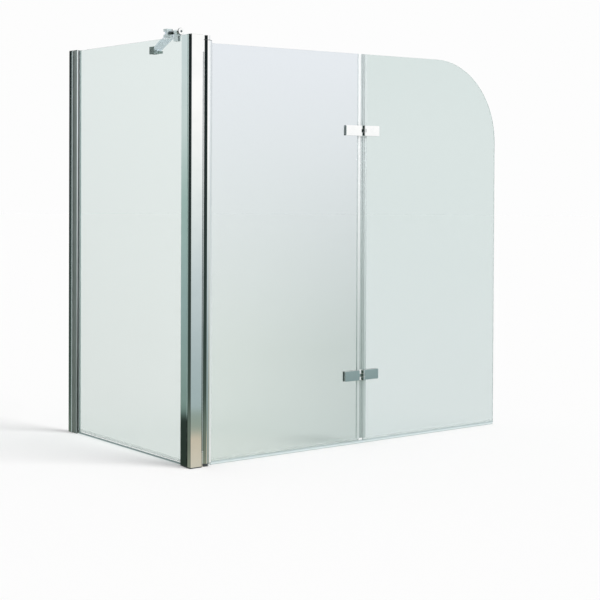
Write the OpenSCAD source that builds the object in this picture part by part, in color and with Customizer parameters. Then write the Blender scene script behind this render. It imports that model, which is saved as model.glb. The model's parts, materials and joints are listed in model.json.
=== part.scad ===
// Folding bath screen for the open corner of a bath: a fixed side pane between
// a wall channel and a corner post, two folding front leaves on the post, and a
// support arm from the side pane to the wall.
// Millimetres, +Z up. The origin is the middle of the corner post's foot, on the
// bath rim. +X runs along the front, +Y runs from the front to the wall.

/* [Overall] */
// Height of the post, the wall channel and the pivot above the rim
height = 1400; // [1200:5:1600]
// Front face of the corner post to the wall
side_reach = 827; // [700:1:1000]
// Pivot axis to fold axis
leaf_1_reach = 662; // [500:1:800]
// Fold axis to the free edge of the folding leaf
leaf_2_reach = 656; // [450:1:660]

/* [Glass] */
// Thickness of all three panes
glass_t = 6; // [5:0.5:8]
// Rim to the bottom edge of every pane
glass_lift = 9; // [9:0.5:15]
// Underside of the caps down to the top of the side pane
side_drop = 0.5; // [0.5:0.5:20]
// Top of the post down to the top of the two leaves
leaf_drop = 25; // [20:1:60]
// Radius of the free top corner
corner_r = 300; // [50:5:400]

/* [Corner post] */
// Width of the post along the front
post_w = 45; // [40:1:60]
// Depth of the post's hollow front section
post_d = 24; // [22:1:40]
// Wall of the post section
post_wall = 2.5; // [2:0.1:4]
// Outer corner radius of the post section
post_r = 3; // [0.5:0.5:3]
// Width of the sloped strip down the back of the post's outer side
strip_w = 7; // [3:0.5:8]
// How far that strip draws in towards the back
strip_d = 1.2; // [0.5:0.1:1.8]
// Thickness of the caps on the post and on the wall channel
cap_t = 2; // [1.5:0.5:3]
// Thickness of the foot plate under the post
foot_t = 3; // [2:0.5:6]
// Length of the plugs on the caps and the foot
plug_len = 12; // [6:1:30]
// Clearance round those plugs
plug_gap = 0.15; // [0.05:0.05:0.3]

/* [Glazing channels] */
// Width of the post's channel at its base
channel_w = 30; // [28:1:40]
// How far each side of that channel draws in towards its mouth
channel_taper = 6; // [2:0.5:6.5]
// Width of the glazing profile at the wall
glazing_w = 20; // [19:0.5:26]
// Wall of the channels that hold the side pane
channel_wall = 2; // [1.5:0.1:2.5]
// Thickness of the gasket on each face of a pane
gasket_t = 3; // [2:0.1:3.5]
// Depth of the channel behind the post
post_channel_d = 45; // [35:1:50]
// Depth of the glazing profile at the wall
glazing_d = 48; // [44:1:52]
// Depth of the glass pocket in the glazing profile
pocket_d = 32; // [24:1:33]
// Clear space between a pane's edge and the bottom of its pocket
edge_gap = 2; // [1:0.5:5]
// Depth of the gaskets inside the pockets
gasket_d = 14; // [8:1:20]
// How far the wall gaskets stand out of their profile
gasket_lip = 2; // [1:0.5:12]
// How far the post and pivot gaskets stand out of their pockets
gasket_lip_small = 3; // [1:0.5:6]

/* [Wall channel] */
// Mouth of the glazing profile to the wall
wall_stack = 56; // [52:1:60]
// Depth of the wall channel
wall_channel_d = 26; // [24:1:30]
// Side wall of the wall channel
wall_channel_wall = 2.5; // [2:0.1:4]
// Base of the wall channel, against the wall
wall_base_t = 3; // [2:0.5:5]
// Sliding clearance between wall channel and glazing profile
slide_gap = 0.3; // [0.2:0.05:0.5]
// Distance between the wall screw holes
wall_hole_pitch = 600; // [300:10:650]
// Radius of the wall screw holes
wall_hole_r = 3; // [2:0.25:4]
// Radius of the side screws that fix the glazing profile
side_screw_r = 2; // [1.5:0.1:2.5]
// Distance between the side screws
side_screw_pitch = 550; // [300:10:620]

/* [Corner pivot] */
// Front face of the post to the plane of the leaves
pivot_back = 20; // [18:0.5:24]
// Radius of the round pivot profile
pivot_r = 16; // [14:0.5:20]
// Gap between the post and the pivot profile
pivot_gap = 5; // [4.5:0.5:10]
// Axis to the mouth of the glass pocket in the pivot profile
pivot_tail = 20; // [19:1:34]
// Bore for the bushes through the pivot profile
bush_r = 8; // [6:0.5:9]
// Wall between that bore and the glass pocket
pivot_web = 3; // [2:0.5:5]
// Length of a bush inside the profile
bush_len = 16; // [10:1:30]
// Thickness of the end plate on a bush
bush_plate_t = 1.6; // [1:0.1:3]
// Radius of the pivot pins
pin_r = 4; // [3:0.25:5]
// Height of the top bracket's arm
top_arm_h = 14; // [8:1:18]
// Height of the bottom bracket's arm
bottom_arm_h = 7; // [5:0.5:7]
// Front of the round bracket ends back to the front of their arms
bracket_back = 9; // [1:0.5:10]
// Top of the post down to the top bracket
bracket_drop = 2; // [0.5:0.5:4]
// Thickness of the brackets' legs against the post
leg_t = 4; // [3:0.5:4.2]
// Length of those legs
leg_len = 40; // [30:1:60]
// Radius of the bracket screws
bracket_screw_r = 2; // [1.5:0.1:2.5]
// Width of the rubber strip between post and pivot profile
pivot_seal_w = 6; // [3:0.5:7]

/* [Running clearances] */
// Radial clearance of a pin in the part that turns on it
run_gap = 0.05; // [0.02:0.01:0.1]
// Radial clearance of a pin or screw in the part that holds it
hold_gap = 0.02; // [0.02:0.01:0.05]
// Gap between faces that turn past each other
face_gap = 0.2; // [0.1:0.05:0.5]

/* [Fold hinges] */
// Top of the leaves down to the middle of the upper hinge
upper_hinge_drop = 270; // [60:1:500]
// Rim to the middle of the lower hinge
lower_hinge_z = 242; // [60:1:500]
// Height of a hinge
hinge_h = 36; // [30:1:60]
// Length of the plates on the first leaf
plate_1_len = 66; // [50:1:90]
// Length of the plates on the second leaf
plate_2_len = 61; // [50:1:90]
// Thickness of an outer plate
plate_t = 6; // [5:0.5:8]
// Thickness of an inner plate
inner_plate_t = 4; // [3:0.5:6]
// Corner radius of the plates
plate_r = 2; // [0.5:0.5:5]
// Thickness of the pads between plate and glass
pad_t = 1; // [0.5:0.1:2]
// Fold axis to the near end of the plates
plate_start = 12; // [10:0.5:16]
// Fold axis to the edge of each pane
fold_gap = 11; // [9:0.5:14]
// Fold axis to the outer face of the outer plates
fold_clear = 0.5; // [0.3:0.1:2]
// Radius of the knuckles
knuckle_r = 7; // [5.5:0.5:8]
// Radius of the hinge pins
hinge_pin_r = 3; // [2:0.25:4]
// Radius of the plate screws
plate_screw_r = 2.5; // [2:0.25:3]
// Plate end to screw
screw_inset = 15; // [10:1:20]
// Radius of the screw holes in the glass
glass_hole_r = 5; // [4:0.5:8]

/* [Seals] */
// Wall of the clear seals
seal_t = 1.2; // [0.8:0.1:2]
// Web of the clear seals, against the edge of the glass
seal_web = 2; // [1:0.5:3]
// How far the clear seals reach up the glass
seal_grip = 9; // [5:0.5:15]
// Thickness of the wiper that meets the rim
wiper_t = 3; // [2:0.5:4]
// Gap between seals that meet at the fold, and at other ends
seal_gap = 0.3; // [0.1:0.1:1]

/* [Support arm] */
// Front face of the post to the middle of the glass clamp
clamp_back = 109; // [90:1:300]
// Width of the clamp across the glass
clamp_w = 16; // [14:1:24]
// Length of the clamp along the glass
clamp_len = 24; // [20:1:50]
// How far the clamp reaches down the glass
clamp_grip = 14.5; // [12:0.5:40]
// Clamp top above the glass
clamp_top = 8; // [6:0.5:14]
// Thickness of the pad inside the clamp
clamp_pad_t = 1; // [0.5:0.1:1.5]
// Glass top to the middle of the arm
arm_rise = 16.5; // [15.5:0.5:40]
// Radius of the eye on the clamp
eye_r = 7.5; // [6:0.5:7.5]
// Radius of the clamp bolt
bolt_r = 4; // [3:0.25:4.5]
// Radius of the clamp bolt's head
bolt_head_r = 11; // [8:0.5:12]
// Thickness of the clamp bolt's head
bolt_head_t = 12; // [4:0.5:16]
// Radius of the round stub on a fork
stub_r = 6.5; // [5.5:0.25:8]
// Length of the stub between clamp and fork
stub_len = 35; // [30:1:80]
// Side of the square forks, in plan
fork_w = 22; // [20:1:30]
// Height of the forks
fork_h = 27; // [22:1:31]
// Height of the slot in a fork
slot_h = 10; // [6:0.5:12]
// Wall of a fork behind its slot
fork_wall = 4; // [3:0.5:4.5]
// Radius of the vertical pins in the forks
fork_pin_r = 2.5; // [2:0.25:3]
// Width of the bar
bar_w = 22; // [18:1:24]
// Height of the bar
bar_h = 16; // [14:1:20]
// Wall of the bar
bar_wall = 2; // [1.5:0.1:3]
// Pin to the end of the bar
bar_start = 18; // [17:1:30]
// Length of the plugs inside the bar
bar_plug = 25; // [15:1:40]
// Middle of the side pane to the wall foot, along the wall
foot_offset = 344; // [150:1:500]
// How much higher the wall foot is than the clamp
foot_rise = 6; // [-20:1:20]
// Width of the wall foot
foot_w = 24; // [22:1:32]
// Height of the wall foot
foot_h = 28; // [24:1:36]
// Depth of the wall foot
foot_d = 34; // [30:1:50]
// Length of the stub between fork and wall foot
foot_stub = 4; // [2:0.5:12]
// Radius of the wall foot's socket for its wall stud
stud_r = 4.1; // [3:0.1:5]
// Depth of that socket
stud_d = 16; // [10:1:18]
// Depth of the wall foot's socket for the fork
spigot_d = 12; // [8:1:14]
// Radius of the set screws
set_r = 2.5; // [2:0.25:2.5]

/* [Hidden] */
$fn = 48;
eps = 0.01;

// Plan positions
x_out = -post_w / 2;
x_side = x_out + channel_w / 2;
y_out = -post_d / 2;
y_front = y_out + pivot_back;
y_channel = post_d / 2;
y_channel_end = y_channel + post_channel_d;
wall_y = y_out + side_reach;
y_mouth = wall_y - wall_stack;
pivot_x = post_w / 2 + pivot_gap + pivot_r;
fold_x = pivot_x + leaf_1_reach;
free_x = fold_x + leaf_2_reach;

// Heights
cap_z = height - cap_t;
side_top = cap_z - side_drop;
leaf_top = height - leaf_drop;
top_arm_z = height - bracket_drop - top_arm_h;
profile_top = top_arm_z - face_gap - bush_plate_t;
profile_bottom = bottom_arm_h + face_gap + bush_plate_t;
upper_hinge_z = leaf_top - upper_hinge_drop;
seal_top = glass_lift + seal_grip;

// Pockets and panes
pocket_w = glass_t + 2 * gasket_t;
channel_base = post_wall;
side_glass_y0 = y_channel + channel_base + edge_gap;
side_glass_y1 = y_mouth + pocket_d - edge_gap;
pivot_pocket_x = bush_r + pivot_web;
leaf_1_x0 = pivot_x + pivot_pocket_x + edge_gap;
tail_end = pivot_x + pivot_tail + gasket_lip_small;

// Wall channel
wall_channel_w = glazing_w + 2 * (slide_gap + wall_channel_wall);
rear_cavity_w = glazing_w - 2 * channel_wall;
rear_cavity_d = glazing_d - pocket_d - channel_wall;
side_screw_head_r = 2 * side_screw_r;
side_screw_head_t = 1.2 * side_screw_r;
side_screw_cap_t = 1.5;
side_screw_len = wall_channel_wall + slide_gap + channel_wall + 2;
side_screw_y = wall_y - wall_channel_d + 12;
reed_w = 12;
reed_d = 0.6;
reed_back = 10;

// Fold hinge: the leaf's own frame has its origin on the fold axis
axis_off = glass_t / 2 + pad_t + plate_t + fold_clear;
fold_y = y_front - axis_off;
knuckle_h = hinge_h / 3;
inner_plate_y = axis_off + glass_t / 2 + pad_t;
plate_skin = 2;
seal_break = hinge_h / 2 + 0.5;
head_cone = 2;

// Support arm
arm_z = side_top + arm_rise;
clamp_y = y_out + clamp_back;
clamp_y0 = clamp_y - clamp_len / 2;
clamp_y1 = clamp_y + clamp_len / 2;
head_y = clamp_y1 + stub_len + fork_w / 2;
foot_x = x_side + foot_offset;
foot_y = wall_y - foot_d - foot_stub - fork_w / 2;
arm_len = norm([foot_offset, foot_y - head_y]);
arm_angle = atan2(foot_offset, foot_y - head_y);
foot_z = arm_z + foot_rise;
climb = atan2(foot_rise, arm_len);
bar_len = norm([arm_len, foot_rise]);
tongue_t = slot_h - 2 * face_gap;
tongue_r = fork_w / 2 - fork_wall - 0.5;
bolt_bite = 19;
hex_depth = 3;
neck_w = 10;

// A rectangle centred on the origin with round corners
module round_rect(w, d, r) {
    square([w - 2 * r, d], center = true);
    square([w, d - 2 * r], center = true);
    for (x = [-1, 1], y = [-1, 1])
        translate([x * (w / 2 - r), y * (d / 2 - r)]) circle(r);
}

// A box given by its lowest and highest corners
module box(low, high) {
    translate(low) cube(high - low);
}

// A straight countersunk screw along +Z, its flat head's face at z = 0, the shank below
module countersunk_screw(r, length, head_r) {
    translate([0, 0, -length]) cylinder(h = length, r = r);
    translate([0, 0, -head_cone]) cylinder(h = head_cone, r1 = r, r2 = head_r);
}

// The hole for such a screw
module countersunk_hole(r, length, head_r) {
    translate([0, 0, -length - eps]) cylinder(h = length + 1, r = r);
    translate([0, 0, -head_cone]) cylinder(h = head_cone + eps, r1 = r, r2 = head_r + eps);
}

// ---------------------------------------------------------------- side panel

// Outline of the post's channel, its base at y = 0, each side drawn in to its mouth
module channel_outline(depth) {
    polygon([[-channel_w / 2, 0], [channel_w / 2, 0],
        [channel_w / 2 - channel_taper, depth], [channel_taper - channel_w / 2, depth]]);
}

// Section of that channel with its glass pocket and a hollow chamber on each side
module pocket_section(depth, base) {
    slope = channel_taper / depth;
    inner = pocket_w / 2 + channel_wall;
    y0 = base + channel_wall;
    tip_w = 0.4;
    y1 = min(depth - channel_wall, (channel_w / 2 - channel_wall - inner - tip_w) / slope);
    difference() {
        channel_outline(depth);
        translate([-pocket_w / 2, base]) square([pocket_w, depth]);
        for (s = [-1, 1]) scale([s, 1])
            polygon([[inner, y0], [channel_w / 2 - channel_wall - slope * y0, y0],
                [channel_w / 2 - channel_wall - slope * y1, y1], [inner, y1]]);
    }
}

module side_screw_at(k) {
    translate([x_side + wall_channel_w / 2, side_screw_y, height / 2 + k * side_screw_pitch])
        rotate([0, 90, 0]) children();
}

module wall_channel() {
    color("silver") difference() {
        linear_extrude(cap_z) difference() {
            translate([x_side - wall_channel_w / 2, wall_y - wall_channel_d])
                square([wall_channel_w, wall_channel_d]);
            translate([x_side - glazing_w / 2 - slide_gap, wall_y - wall_channel_d - 1])
                square([glazing_w + 2 * slide_gap, wall_channel_d - wall_base_t + 1]);
            for (s = [-1, 1])
                translate([x_side + s * wall_channel_w / 2 - reed_d, wall_y - reed_back - reed_w])
                    square([2 * reed_d, reed_w]);
        }
        for (k = [-1, 0, 1])
            translate([x_side, wall_y + 1, height / 2 + k * wall_hole_pitch])
                rotate([90, 0, 0]) cylinder(h = wall_base_t + 2, r = wall_hole_r);
        for (k = [-1, 0, 1]) side_screw_at(k)
            translate([0, 0, -side_screw_len]) cylinder(h = 2 * side_screw_len, r = side_screw_r + hold_gap);
    }
}

// The cap covers both wall sections and plugs the glazing profile's rear cavity
module wall_channel_cap() {
    color("silver") {
        translate([0, 0, cap_z]) linear_extrude(cap_t) {
            translate([x_side - wall_channel_w / 2, wall_y - wall_channel_d])
                square([wall_channel_w, wall_channel_d]);
            translate([x_side - glazing_w / 2, y_mouth]) square([glazing_w, glazing_d]);
        }
        box([x_side - rear_cavity_w / 2 + plug_gap, y_mouth + glazing_d - rear_cavity_d + plug_gap,
                cap_z - plug_len],
            [x_side + rear_cavity_w / 2 - plug_gap, y_mouth + glazing_d - plug_gap, cap_z + eps]);
    }
}

module glazing_profile() {
    color("silver") difference() {
        translate([x_side, y_mouth, 0]) linear_extrude(cap_z) difference() {
            translate([-glazing_w / 2, 0]) square([glazing_w, glazing_d]);
            translate([-pocket_w / 2, -1]) square([pocket_w, pocket_d + 1]);
            translate([-rear_cavity_w / 2, pocket_d + channel_wall]) square([rear_cavity_w, glazing_d]);
        }
        for (k = [-1, 0, 1]) side_screw_at(k)
            translate([0, 0, -side_screw_len - 1]) cylinder(h = side_screw_len + 1, r = side_screw_r + hold_gap);
    }
}

module side_screws() {
    color("gray") for (k = [-1, 0, 1]) side_screw_at(k) {
        translate([0, 0, -side_screw_len]) cylinder(h = side_screw_len + eps, r = side_screw_r);
        cylinder(h = side_screw_head_t, r = side_screw_head_r);
    }
}

module side_screw_caps() {
    color("silver") for (k = [-1, 0, 1]) side_screw_at(k)
        difference() {
            cylinder(h = side_screw_head_t + side_screw_cap_t, r = side_screw_head_r + side_screw_cap_t);
            translate([0, 0, -eps])
                cylinder(h = side_screw_head_t + plug_gap, r = side_screw_head_r + plug_gap);
        }
}

module side_glass() {
    color("lightblue", 0.4)
        box([x_side - glass_t / 2, side_glass_y0, glass_lift],
            [x_side + glass_t / 2, side_glass_y1, side_top]);
}

// A gasket strip on each face of the side pane, between two depths
module side_gaskets(y0, y1) {
    for (s = [-1, 1])
        translate([x_side + s * (glass_t + gasket_t) / 2 - gasket_t / 2, y0, glass_lift])
            cube([gasket_t, y1 - y0, side_top - glass_lift]);
}

module wall_gaskets() {
    color("dimgray") side_gaskets(y_mouth - gasket_lip, y_mouth + gasket_d);
}

module post_gaskets() {
    color("gainsboro") side_gaskets(y_channel_end - gasket_d, y_channel_end + gasket_lip_small);
}

// Section of a bottom seal: across the glass, and up
module bottom_seal_section() {
    for (s = [-1, 1])
        translate([s * (glass_t + seal_t) / 2 - seal_t / 2, glass_lift - seal_web])
            square([seal_t, seal_web + seal_grip]);
    translate([-glass_t / 2 - eps, glass_lift - seal_web]) square([glass_t + 2 * eps, seal_web]);
    translate([-wiper_t / 2, 0]) square([wiper_t, glass_lift - seal_web + eps]);
}

module side_bottom_seal() {
    y0 = y_channel_end + gasket_lip_small + seal_gap;
    y1 = y_mouth - gasket_lip - seal_gap;
    color("gainsboro", 0.6) translate([x_side, y1, 0])
        rotate([90, 0, 0]) linear_extrude(y1 - y0) bottom_seal_section();
}

// --------------------------------------------------------------- corner post

module post_outline() {
    round_rect(post_w, post_d, post_r);
}

module post_bore() {
    square([post_w - 2 * post_wall - 2 * strip_d, post_d - 2 * post_wall], center = true);
}

module channel_screw_at(k) {
    translate([x_side, y_channel + channel_base, height / 2 + k * side_screw_pitch])
        rotate([-90, 0, 0]) children();
}

module bracket_screw_at(z) {
    translate([post_w / 2 + leg_t, leg_y, z]) rotate([0, 90, 0]) children();
}

leg_y = (y_front - pivot_r + post_d / 2) / 2;
leg_w = post_d / 2 - (y_front - pivot_r);
leg_screw_z = [bottom_arm_h + leg_len * 0.3, bottom_arm_h + leg_len * 0.75,
    top_arm_z - leg_len * 0.3, top_arm_z - leg_len * 0.75];
bracket_screw_len = leg_t + post_wall + 3;

module corner_post() {
    color("silver") difference() {
        translate([0, 0, foot_t]) linear_extrude(cap_z - foot_t) difference() {
            post_outline();
            post_bore();
            polygon([[x_out - 1, post_d / 2 - strip_w], [x_out, post_d / 2 - strip_w],
                [x_out + strip_d, post_d / 2], [x_out + strip_d, post_d / 2 + 1], [x_out - 1, post_d / 2 + 1]]);
        }
        for (k = [-1, 0, 1]) channel_screw_at(k)
            translate([0, 0, -20]) cylinder(h = 21, r = side_screw_r + hold_gap);
        for (z = leg_screw_z) bracket_screw_at(z)
            translate([0, 0, -bracket_screw_len - 1])
                cylinder(h = bracket_screw_len + 2, r = bracket_screw_r + hold_gap);
    }
}

module post_plates(z, t) {
    translate([0, 0, z]) linear_extrude(t) {
        post_outline();
        translate([x_side - channel_w / 2, 0]) square([channel_w, y_channel]);
        translate([x_side, y_channel - eps]) channel_outline(post_channel_d + eps);
    }
}

module post_plug() {
    offset_w = post_w - 2 * post_wall - 2 * strip_d - 2 * plug_gap;
    linear_extrude(plug_len + eps)
        square([offset_w, post_d - 2 * post_wall - 2 * plug_gap], center = true);
}

module post_cap() {
    color("silver") {
        post_plates(cap_z, cap_t);
        translate([0, 0, cap_z - plug_len]) post_plug();
    }
}

module post_foot() {
    color("dimgray") {
        post_plates(0, foot_t);
        translate([0, 0, foot_t - eps]) post_plug();
    }
}

module post_channel() {
    color("silver") difference() {
        translate([x_side, y_channel, foot_t]) linear_extrude(cap_z - foot_t)
            pocket_section(post_channel_d, channel_base);
        for (k = [-1, 0, 1]) channel_screw_at(k)
            countersunk_hole(side_screw_r + hold_gap, 10, 2 * side_screw_r);
    }
}

module channel_screws() {
    color("gray") for (k = [-1, 0, 1]) channel_screw_at(k)
        countersunk_screw(side_screw_r, channel_base + post_wall + 3, 2 * side_screw_r);
}

// ------------------------------------------------------- brackets on the post

// The arm that carries a pivot pin, in plan
module arm_outline() {
    polygon([[post_w / 2, y_front - pivot_r + bracket_back], [pivot_x, y_front - pivot_r + bracket_back],
        [pivot_x, y_front + pivot_r], [post_w / 2, post_d / 2]]);
    translate([pivot_x, y_front]) circle(pivot_r);
}

// A bracket: its arm from arm_z up, its leg from leg_z up against the post
module bracket(arm_z0, arm_h, leg_z) {
    difference() {
        union() {
            translate([0, 0, arm_z0]) linear_extrude(arm_h) arm_outline();
            translate([post_w / 2, leg_y - leg_w / 2, leg_z])
                cube([leg_t, leg_w, leg_len + arm_h]);
        }
        translate([pivot_x, y_front, arm_z0 - 1]) cylinder(h = arm_h + 2, r = pin_r + hold_gap);
        for (z = leg_screw_z) bracket_screw_at(z)
            countersunk_hole(bracket_screw_r + hold_gap, 10, 2 * bracket_screw_r);
    }
}

module top_bracket() {
    color("silver") bracket(top_arm_z, top_arm_h, top_arm_z - leg_len);
}

module bottom_bracket() {
    color("silver") bracket(0, bottom_arm_h, 0);
}

module bracket_screws() {
    color("gray") for (z = leg_screw_z) bracket_screw_at(z)
        countersunk_screw(bracket_screw_r, bracket_screw_len, 2 * bracket_screw_r);
}

module top_pin() {
    z0 = top_arm_z - bush_len + 1;
    color("gray") translate([pivot_x, y_front, z0])
        cylinder(h = height - bracket_drop - z0, r = pin_r);
}

module bottom_pin() {
    color("gray") translate([pivot_x, y_front, 0])
        cylinder(h = bottom_arm_h + bush_len - 1, r = pin_r);
}

module pivot_seal() {
    z0 = bottom_arm_h + leg_len + seal_gap;
    z1 = top_arm_z - leg_len - seal_gap;
    y0 = min(y_front, post_d / 2 - post_r - pivot_seal_w / 2) - pivot_seal_w / 2;
    color("black") translate([post_w / 2, y0, z0]) cube([pivot_gap - seal_gap, pivot_seal_w, z1 - z0]);
}

// --------------------------------------------------------------- first leaf

module pivot_outline() {
    hull() {
        circle(pivot_r);
        translate([0, -pocket_w / 2 - channel_wall]) square([pivot_tail, pocket_w + 2 * channel_wall]);
    }
}

module pivot_profile() {
    color("silver") translate([pivot_x, y_front, profile_bottom])
        linear_extrude(profile_top - profile_bottom) difference() {
            pivot_outline();
            circle(bush_r);
            translate([pivot_pocket_x, -pocket_w / 2]) square([pivot_tail, pocket_w]);
        }
}

// A bush: its end plate at z = 0 to bush_plate_t, its body above
module bush() {
    translate([pivot_x, y_front, 0]) difference() {
        union() {
            linear_extrude(bush_plate_t) pivot_outline();
            cylinder(h = bush_plate_t + bush_len, r = bush_r - hold_gap);
        }
        translate([0, 0, -1]) cylinder(h = bush_plate_t + bush_len + 2, r = pin_r + run_gap);
    }
}

module top_bush() {
    color("dimgray") translate([0, 0, top_arm_z - face_gap]) mirror([0, 0, 1]) bush();
}

module bottom_bush() {
    color("dimgray") translate([0, 0, bottom_arm_h + face_gap]) bush();
}

module hinge_holes(z, plate_len) {
    for (x = [plate_start + screw_inset, plate_start + plate_len - screw_inset])
        translate([x, 0, z]) rotate([-90, 0, 0])
            cylinder(h = 3 * axis_off, r = glass_hole_r);
}

module leaf_1_glass() {
    color("lightblue", 0.4) difference() {
        box([leaf_1_x0, y_front - glass_t / 2, glass_lift],
            [fold_x - fold_gap, y_front + glass_t / 2, leaf_top]);
        for (z = [upper_hinge_z, lower_hinge_z])
            translate([fold_x, fold_y, 0]) mirror([1, 0, 0]) hinge_holes(z, plate_1_len);
    }
}

module pivot_gaskets() {
    color("gainsboro") for (s = [-1, 1])
        translate([leaf_1_x0, y_front + s * (glass_t + gasket_t) / 2 - gasket_t / 2, glass_lift])
            cube([tail_end - leaf_1_x0, gasket_t, leaf_top - glass_lift]);
}

// A bottom seal under a leaf, between two places along the front
module leaf_bottom_seal(x0, x1) {
    translate([x0, y_front, 0]) rotate([90, 0, 90])
        linear_extrude(x1 - x0) bottom_seal_section();
}

module leaf_1_bottom_seal() {
    color("gainsboro", 0.6) leaf_bottom_seal(tail_end + seal_gap, fold_x - seal_gap);
}

// Section of a fold seal on the +X side of the fold axis: a channel on the edge
// of the glass and a hollow bulb that meets the other leaf's seal
module fold_seal_section() {
    bulb_r = (fold_gap - seal_web - seal_gap + 0.5) / 2;
    for (s = [-1, 1])
        translate([fold_gap - seal_web, axis_off + s * (glass_t + seal_t) / 2 - seal_t / 2])
            square([seal_web + seal_grip, seal_t]);
    difference() {
        union() {
            translate([fold_gap - seal_web, axis_off - glass_t / 2 - eps])
                square([seal_web, glass_t + 2 * eps]);
            translate([seal_gap + bulb_r, axis_off]) circle(bulb_r);
        }
        translate([seal_gap + bulb_r, axis_off]) circle(bulb_r - seal_t);
    }
}

// The fold seal runs up the leaf and is cut away at the two hinges
module fold_seal() {
    spans = [[seal_top + seal_gap, lower_hinge_z - seal_break],
        [lower_hinge_z + seal_break, upper_hinge_z - seal_break],
        [upper_hinge_z + seal_break, leaf_top]];
    for (s = spans) translate([0, 0, s[0]]) linear_extrude(s[1] - s[0]) fold_seal_section();
}

module on_leaf_1() {
    translate([fold_x, fold_y, 0]) mirror([1, 0, 0]) children();
}

module on_leaf_2() {
    translate([fold_x, fold_y, 0]) children();
}

module leaf_1_fold_seal() {
    color("gainsboro", 0.6) on_leaf_1() fold_seal();
}

// -------------------------------------------------------------- fold hinges

module screw_places(plate_len) {
    for (x = [plate_start + screw_inset, plate_start + plate_len - screw_inset])
        translate([x, 0, 0]) rotate([-90, 0, 0]) children();
}

// A flat plate on the +X side of the axis, its near face at y
module flat_plate(plate_len, y, t) {
    translate([plate_start + plate_len / 2, y + t, 0]) rotate([90, 0, 0])
        linear_extrude(t) round_rect(plate_len, hinge_h, plate_r);
}

// The stretches of height, from the hinge's middle, that carry knuckles
function bands(leaf) = leaf == 1 ? [[-knuckle_h / 2 + face_gap / 2, knuckle_h / 2 - face_gap / 2]]
    : [[-hinge_h / 2, -knuckle_h / 2 - face_gap / 2], [knuckle_h / 2 + face_gap / 2, hinge_h / 2]];

module outer_plate(leaf, plate_len) {
    pin_hole = leaf == 1 ? hinge_pin_r + run_gap : hinge_pin_r + hold_gap;
    difference() {
        union() {
            flat_plate(plate_len, fold_clear, plate_t);
            for (b = bands(leaf)) translate([0, 0, b[0]]) {
                cylinder(h = b[1] - b[0], r = knuckle_r);
                translate([0, fold_clear, 0]) cube([plate_start + plate_r + 1, plate_t, b[1] - b[0]]);
            }
        }
        translate([0, 0, -hinge_h]) cylinder(h = 2 * hinge_h, r = pin_hole);
        screw_places(plate_len) translate([0, 0, fold_clear + plate_skin])
            cylinder(h = plate_t, r = plate_screw_r + hold_gap);
    }
}

module inner_plate(plate_len) {
    difference() {
        flat_plate(plate_len, inner_plate_y, inner_plate_t);
        screw_places(plate_len) translate([0, 0, inner_plate_y + inner_plate_t])
            countersunk_hole(plate_screw_r + hold_gap, 10, 1.8 * plate_screw_r);
    }
}

module pads(plate_len) {
    for (y = [fold_clear + plate_t, axis_off + glass_t / 2]) difference() {
        flat_plate(plate_len, y, pad_t);
        screw_places(plate_len) translate([0, 0, y - 1])
            cylinder(h = pad_t + 2, r = plate_screw_r + hold_gap);
    }
}

module plate_screws(plate_len) {
    top = inner_plate_y + inner_plate_t;
    screw_places(plate_len) translate([0, 0, top])
        countersunk_screw(plate_screw_r, top - fold_clear - plate_skin - 0.3, 1.8 * plate_screw_r);
}

module hinge_pin(z) {
    translate([fold_x, fold_y, z - hinge_h / 2]) cylinder(h = hinge_h, r = hinge_pin_r);
}

module upper() {
    translate([0, 0, upper_hinge_z]) children();
}

module lower() {
    translate([0, 0, lower_hinge_z]) children();
}

module upper_hinge_plate_1() { color("gainsboro") on_leaf_1() upper() outer_plate(1, plate_1_len); }
module lower_hinge_plate_1() { color("gainsboro") on_leaf_1() lower() outer_plate(1, plate_1_len); }
module upper_hinge_plate_2() { color("gainsboro") on_leaf_2() upper() outer_plate(2, plate_2_len); }
module lower_hinge_plate_2() { color("gainsboro") on_leaf_2() lower() outer_plate(2, plate_2_len); }
module upper_hinge_inner_plate_1() { color("gainsboro") on_leaf_1() upper() inner_plate(plate_1_len); }
module lower_hinge_inner_plate_1() { color("gainsboro") on_leaf_1() lower() inner_plate(plate_1_len); }
module upper_hinge_inner_plate_2() { color("gainsboro") on_leaf_2() upper() inner_plate(plate_2_len); }
module lower_hinge_inner_plate_2() { color("gainsboro") on_leaf_2() lower() inner_plate(plate_2_len); }
module upper_hinge_pads_1() { color("dimgray") on_leaf_1() upper() pads(plate_1_len); }
module lower_hinge_pads_1() { color("dimgray") on_leaf_1() lower() pads(plate_1_len); }
module upper_hinge_pads_2() { color("dimgray") on_leaf_2() upper() pads(plate_2_len); }
module lower_hinge_pads_2() { color("dimgray") on_leaf_2() lower() pads(plate_2_len); }
module upper_hinge_pin() { color("gray") hinge_pin(upper_hinge_z); }
module lower_hinge_pin() { color("gray") hinge_pin(lower_hinge_z); }

module hinge_screws_1() {
    color("gray") on_leaf_1() {
        upper() plate_screws(plate_1_len);
        lower() plate_screws(plate_1_len);
    }
}

module hinge_screws_2() {
    color("gray") on_leaf_2() {
        upper() plate_screws(plate_2_len);
        lower() plate_screws(plate_2_len);
    }
}

// -------------------------------------------------------------- second leaf

module leaf_2_glass() {
    w = leaf_2_reach - fold_gap;
    h = leaf_top - glass_lift;
    color("lightblue", 0.4) on_leaf_2() difference() {
        translate([fold_gap, axis_off + glass_t / 2, glass_lift]) rotate([90, 0, 0])
            linear_extrude(glass_t) {
                square([w - corner_r, h]);
                square([w, h - corner_r]);
                translate([w - corner_r, h - corner_r]) intersection() {
                    circle(corner_r, $fn = 96);
                    square(corner_r);
                }
            }
        for (z = [upper_hinge_z, lower_hinge_z]) hinge_holes(z, plate_2_len);
    }
}

module leaf_2_bottom_seal() {
    color("gainsboro", 0.6) leaf_bottom_seal(fold_x + seal_gap, free_x);
}

module leaf_2_fold_seal() {
    color("gainsboro", 0.6) on_leaf_2() fold_seal();
}

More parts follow.
